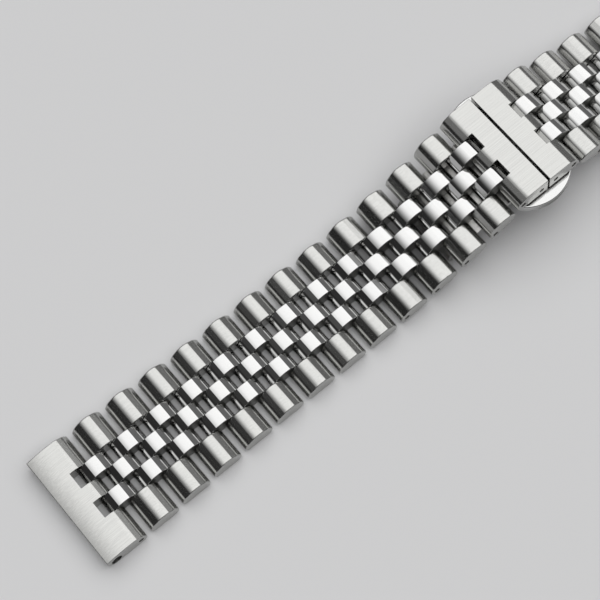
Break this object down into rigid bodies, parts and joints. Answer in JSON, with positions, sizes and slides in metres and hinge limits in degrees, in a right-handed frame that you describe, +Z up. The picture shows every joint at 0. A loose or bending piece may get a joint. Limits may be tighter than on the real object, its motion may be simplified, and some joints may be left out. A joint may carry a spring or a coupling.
{
  "type": "watch bracelet",
  "caption": "Steel watch bracelet with brushed outer links, polished bead rows, straight lug ends and a hidden folding clasp opened by side push buttons, lying face up.",
  "frame": {"origin": "middle of the outline on the table, under the bracelet laid face up", "axes": "+X along the bracelet towards its shorter side, +Y across it, +Z up from the table through the outer face"},
  "size_m": [0.1478, 0.0214, 0.0109],
  "materials": {
    "brushed_steel": "fine lengthwise brushing on a domed stainless surface",
    "polished_steel": "mirror polished stainless steel",
    "clasp_steel": "satin stamped stainless plate",
    "pin_steel": "plain drawn stainless pin",
    "spring_steel": "bright spring wire"
  },
  "bodies": {
    "clasp_base": {"clasp_base": "clasp_steel", "clasp_block": "clasp_steel", "long_wing_pin": "pin_steel", "short_wing_pin": "pin_steel", "near_pusher_spring": "spring_steel", "far_pusher_spring": "spring_steel"},
    "long_wing": {"long_wing": "clasp_steel"},
    "long_cover": {"long_cover": "brushed_steel", "long_cover_pins": "pin_steel"},
    "long_beads_01": {"long_beads_01": "polished_steel"},
    "long_link_01": {"long_link_01": "brushed_steel"},
    "long_beads_02": {"long_beads_02": "polished_steel"},
    "long_link_02": {"long_link_02": "brushed_steel"},
    "long_beads_03": {"long_beads_03": "polished_steel"},
    "long_link_03": {"long_link_03": "brushed_steel"},
    "long_beads_04": {"long_beads_04": "polished_steel"},
    "long_link_04": {"long_link_04": "brushed_steel"},
    "long_beads_05": {"long_beads_05": "polished_steel"},
    "long_link_05": {"long_link_05": "brushed_steel"},
    "long_beads_06": {"long_beads_06": "polished_steel"},
    "long_link_06": {"long_link_06": "brushed_steel"},
    "long_beads_07": {"long_beads_07": "polished_steel"},
    "long_link_07": {"long_link_07": "brushed_steel"},
    "long_beads_08": {"long_beads_08": "polished_steel"},
    "long_link_08": {"long_link_08": "brushed_steel"},
    "long_beads_09": {"long_beads_09": "polished_steel"},
    "long_link_09": {"long_link_09": "brushed_steel"},
    "long_beads_10": {"long_beads_10": "polished_steel"},
    "long_link_10": {"long_link_10": "brushed_steel"},
    "long_beads_11": {"long_beads_11": "polished_steel"},
    "long_link_11": {"long_link_11": "brushed_steel"},
    "long_beads_12": {"long_beads_12": "polished_steel"},
    "long_link_12": {"long_link_12": "brushed_steel"},
    "long_beads_13": {"long_beads_13": "polished_steel"},
    "long_end_piece": {"long_end_piece": "brushed_steel", "long_end_pin": "pin_steel"},
    "short_wing": {"short_wing": "clasp_steel"},
    "short_cover": {"short_cover": "brushed_steel", "short_cover_pins": "pin_steel"},
    "short_beads_01": {"short_beads_01": "polished_steel"},
    "short_link_01": {"short_link_01": "brushed_steel"},
    "short_beads_02": {"short_beads_02": "polished_steel"},
    "short_link_02": {"short_link_02": "brushed_steel"},
    "short_beads_03": {"short_beads_03": "polished_steel"},
    "short_link_03": {"short_link_03": "brushed_steel"},
    "short_beads_04": {"short_beads_04": "polished_steel"},
    "short_link_04": {"short_link_04": "brushed_steel"},
    "short_beads_05": {"short_beads_05": "polished_steel"},
    "short_link_05": {"short_link_05": "brushed_steel"},
    "short_beads_06": {"short_beads_06": "polished_steel"},
    "short_link_06": {"short_link_06": "brushed_steel"},
    "short_beads_07": {"short_beads_07": "polished_steel"},
    "short_link_07": {"short_link_07": "brushed_steel"},
    "short_beads_08": {"short_beads_08": "polished_steel"},
    "short_link_08": {"short_link_08": "brushed_steel"},
    "short_beads_09": {"short_beads_09": "polished_steel"},
    "short_end_piece": {"short_end_piece": "brushed_steel", "short_end_pin": "pin_steel"},
    "near_pusher": {"near_pusher": "polished_steel"},
    "far_pusher": {"far_pusher": "polished_steel"}
  },
  "joints": [
    {"name": "long_wing_hinge", "type": "hinge", "parent": "clasp_base", "child": "long_wing", "pos_m": [-0.00389, 0, 0.00115], "axis": [0, -1, 0], "range_deg": [0, 130]},
    {"name": "long_cover_hinge", "type": "hinge", "parent": "long_wing", "child": "long_cover", "pos_m": [0.01077, 0, 0.00914], "axis": [0, -1, 0], "range_deg": [-130, 0]},
    {"name": "short_wing_hinge", "type": "hinge", "parent": "clasp_base", "child": "short_wing", "pos_m": [0.02829, 0, 0.00115], "axis": [0, 1, 0], "range_deg": [0, 130]},
    {"name": "short_cover_hinge", "type": "hinge", "parent": "short_wing", "child": "short_cover", "pos_m": [0.01362, 0, 0.00914], "axis": [0, 1, 0], "range_deg": [-130, 0]},
    {"name": "near_push", "type": "slide", "parent": "clasp_base", "child": "near_pusher", "axis": [0, 1, 0], "range_m": [0, 0.0012], "stiffness_N_per_m": 500, "springref_m": -0.001, "deforming": ["near_pusher_spring"]},
    {"name": "far_push", "type": "slide", "parent": "clasp_base", "child": "far_pusher", "axis": [0, -1, 0], "range_m": [0, 0.0012], "stiffness_N_per_m": 500, "springref_m": -0.001, "deforming": ["far_pusher_spring"]},
    {"name": "long_pin_01", "type": "hinge", "parent": "long_cover", "child": "long_beads_01", "pos_m": [0.00719, 0, 0.00914], "axis": [0, -1, 0], "range_deg": [-34.5, 0]},
    {"name": "long_pin_02", "type": "hinge", "parent": "long_beads_01", "child": "long_link_01", "pos_m": [0.00448, 0, 0.00773], "axis": [0, 1, 0], "range_deg": [0, 4.25]},
    {"name": "long_pin_03", "type": "hinge", "parent": "long_link_01", "child": "long_beads_02", "pos_m": [0.00171, 0, 0.00646], "axis": [0, -1, 0], "range_deg": [-4.25, 0]},
    {"name": "long_pin_04", "type": "hinge", "parent": "long_beads_02", "child": "long_link_02", "pos_m": [-0.00112, 0, 0.00532], "axis": [0, 1, 0], "range_deg": [0, 4.25]},
    {"name": "long_pin_05", "type": "hinge", "parent": "long_link_02", "child": "long_beads_03", "pos_m": [-0.004, 0, 0.00431], "axis": [0, -1, 0], "range_deg": [-4.25, 22.75]},
    {"name": "long_pin_06", "type": "hinge", "parent": "long_beads_03", "child": "long_link_03", "pos_m": [-0.00692, 0, 0.00344], "axis": [0, 1, 0], "range_deg": [-22.75, 4.25]},
    {"name": "long_pin_07", "type": "hinge", "parent": "long_link_03", "child": "long_beads_04", "pos_m": [-0.00988, 0, 0.00272], "axis": [0, -1, 0], "range_deg": [-4.25, 22.75]},
    {"name": "long_pin_08", "type": "hinge", "parent": "long_beads_04", "child": "long_link_04", "pos_m": [-0.01288, 0, 0.00214], "axis": [0, 1, 0], "range_deg": [-22.75, 4.25]},
    {"name": "long_pin_09", "type": "hinge", "parent": "long_link_04", "child": "long_beads_05", "pos_m": [-0.0159, 0, 0.0017], "axis": [0, -1, 0], "range_deg": [-4.25, 22.75]},
    {"name": "long_pin_10", "type": "hinge", "parent": "long_beads_05", "child": "long_link_05", "pos_m": [-0.01893, 0, 0.00141], "axis": [0, 1, 0], "range_deg": [-22.75, 4.25]},
    {"name": "long_pin_11", "type": "hinge", "parent": "long_link_05", "child": "long_beads_06", "pos_m": [-0.02198, 0, 0.00126], "axis": [0, -1, 0], "range_deg": [-4.25, 22.75]},
    {"name": "long_pin_12", "type": "hinge", "parent": "long_beads_06", "child": "long_link_06", "pos_m": [-0.02503, 0, 0.00126], "axis": [0, 1, 0], "range_deg": [-20, 7]},
    {"name": "long_pin_13", "type": "hinge", "parent": "long_link_06", "child": "long_beads_07", "pos_m": [-0.02808, 0, 0.00126], "axis": [0, -1, 0], "range_deg": [-7, 20]},
    {"name": "long_pin_14", "type": "hinge", "parent": "long_beads_07", "child": "long_link_07", "pos_m": [-0.03113, 0, 0.00126], "axis": [0, 1, 0], "range_deg": [-20, 7]},
    {"name": "long_pin_15", "type": "hinge", "parent": "long_link_07", "child": "long_beads_08", "pos_m": [-0.03418, 0, 0.00126], "axis": [0, -1, 0], "range_deg": [-7, 20]},
    {"name": "long_pin_16", "type": "hinge", "parent": "long_beads_08", "child": "long_link_08", "pos_m": [-0.03723, 0, 0.00126], "axis": [0, 1, 0], "range_deg": [-20, 7]},
    {"name": "long_pin_17", "type": "hinge", "parent": "long_link_08", "child": "long_beads_09", "pos_m": [-0.04028, 0, 0.00126], "axis": [0, -1, 0], "range_deg": [-7, 20]},
    {"name": "long_pin_18", "type": "hinge", "parent": "long_beads_09", "child": "long_link_09", "pos_m": [-0.04333, 0, 0.00126], "axis": [0, 1, 0], "range_deg": [-20, 7]},
    {"name": "long_pin_19", "type": "hinge", "parent": "long_link_09", "child": "long_beads_10", "pos_m": [-0.04638, 0, 0.00126], "axis": [0, -1, 0], "range_deg": [-7, 20]},
    {"name": "long_pin_20", "type": "hinge", "parent": "long_beads_10", "child": "long_link_10", "pos_m": [-0.04943, 0, 0.00126], "axis": [0, 1, 0], "range_deg": [-20, 7]},
    {"name": "long_pin_21", "type": "hinge", "parent": "long_link_10", "child": "long_beads_11", "pos_m": [-0.05248, 0, 0.00126], "axis": [0, -1, 0], "range_deg": [-7, 20]},
    {"name": "long_pin_22", "type": "hinge", "parent": "long_beads_11", "child": "long_link_11", "pos_m": [-0.05553, 0, 0.00126], "axis": [0, 1, 0], "range_deg": [-20, 7]},
    {"name": "long_pin_23", "type": "hinge", "parent": "long_link_11", "child": "long_beads_12", "pos_m": [-0.05858, 0, 0.00126], "axis": [0, -1, 0], "range_deg": [-7, 20]},
    {"name": "long_pin_24", "type": "hinge", "parent": "long_beads_12", "child": "long_link_12", "pos_m": [-0.06163, 0, 0.00126], "axis": [0, 1, 0], "range_deg": [-20, 7]},
    {"name": "long_pin_25", "type": "hinge", "parent": "long_link_12", "child": "long_beads_13", "pos_m": [-0.06468, 0, 0.00126], "axis": [0, -1, 0], "range_deg": [-7, 20]},
    {"name": "long_pin_26", "type": "hinge", "parent": "long_beads_13", "child": "long_end_piece", "pos_m": [-0.06773, 0, 0.00126], "axis": [0, 1, 0], "range_deg": [-20, 7]},
    {"name": "short_pin_01", "type": "hinge", "parent": "short_cover", "child": "short_beads_01", "pos_m": [0.01722, 0, 0.00914], "axis": [0, 1, 0], "range_deg": [-34.5, 0]},
    {"name": "short_pin_02", "type": "hinge", "parent": "short_beads_01", "child": "short_link_01", "pos_m": [0.01992, 0, 0.00773], "axis": [0, -1, 0], "range_deg": [0, 4.25]},
    {"name": "short_pin_03", "type": "hinge", "parent": "short_link_01", "child": "short_beads_02", "pos_m": [0.02269, 0, 0.00646], "axis": [0, 1, 0], "range_deg": [-4.25, 0]},
    {"name": "short_pin_04", "type": "hinge", "parent": "short_beads_02", "child": "short_link_02", "pos_m": [0.02552, 0, 0.00532], "axis": [0, -1, 0], "range_deg": [0, 4.25]},
    {"name": "short_pin_05", "type": "hinge", "parent": "short_link_02", "child": "short_beads_03", "pos_m": [0.0284, 0, 0.00431], "axis": [0, 1, 0], "range_deg": [-4.25, 22.75]},
    {"name": "short_pin_06", "type": "hinge", "parent": "short_beads_03", "child": "short_link_03", "pos_m": [0.03132, 0, 0.00344], "axis": [0, -1, 0], "range_deg": [-22.75, 4.25]},
    {"name": "short_pin_07", "type": "hinge", "parent": "short_link_03", "child": "short_beads_04", "pos_m": [0.03429, 0, 0.00272], "axis": [0, 1, 0], "range_deg": [-4.25, 22.75]},
    {"name": "short_pin_08", "type": "hinge", "parent": "short_beads_04", "child": "short_link_04", "pos_m": [0.03728, 0, 0.00214], "axis": [0, -1, 0], "range_deg": [-22.75, 4.25]},
    {"name": "short_pin_09", "type": "hinge", "parent": "short_link_04", "child": "short_beads_05", "pos_m": [0.0403, 0, 0.0017], "axis": [0, 1, 0], "range_deg": [-4.25, 22.75]},
    {"name": "short_pin_10", "type": "hinge", "parent": "short_beads_05", "child": "short_link_05", "pos_m": [0.04333, 0, 0.00141], "axis": [0, -1, 0], "range_deg": [-22.75, 4.25]},
    {"name": "short_pin_11", "type": "hinge", "parent": "short_link_05", "child": "short_beads_06", "pos_m": [0.04638, 0, 0.00126], "axis": [0, 1, 0], "range_deg": [-4.25, 22.75]},
    {"name": "short_pin_12", "type": "hinge", "parent": "short_beads_06", "child": "short_link_06", "pos_m": [0.04943, 0, 0.00126], "axis": [0, -1, 0], "range_deg": [-20, 7]},
    {"name": "short_pin_13", "type": "hinge", "parent": "short_link_06", "child": "short_beads_07", "pos_m": [0.05248, 0, 0.00126], "axis": [0, 1, 0], "range_deg": [-7, 20]},
    {"name": "short_pin_14", "type": "hinge", "parent": "short_beads_07", "child": "short_link_07", "pos_m": [0.05553, 0, 0.00126], "axis": [0, -1, 0], "range_deg": [-20, 7]},
    {"name": "short_pin_15", "type": "hinge", "parent": "short_link_07", "child": "short_beads_08", "pos_m": [0.05858, 0, 0.00126], "axis": [0, 1, 0], "range_deg": [-7, 20]},
    {"name": "short_pin_16", "type": "hinge", "parent": "short_beads_08", "child": "short_link_08", "pos_m": [0.06163, 0, 0.00126], "axis": [0, -1, 0], "range_deg": [-20, 7]},
    {"name": "short_pin_17", "type": "hinge", "parent": "short_link_08", "child": "short_beads_09", "pos_m": [0.06468, 0, 0.00126], "axis": [0, 1, 0], "range_deg": [-7, 20]},
    {"name": "short_pin_18", "type": "hinge", "parent": "short_beads_09", "child": "short_end_piece", "pos_m": [0.06773, 0, 0.00126], "axis": [0, -1, 0], "range_deg": [-20, 7]}
  ],
  "couplings": [
    {"joint": "long_cover_hinge", "follows": "long_wing_hinge", "ratio": -1},
    {"joint": "short_cover_hinge", "follows": "short_wing_hinge", "ratio": -1}
  ]
}
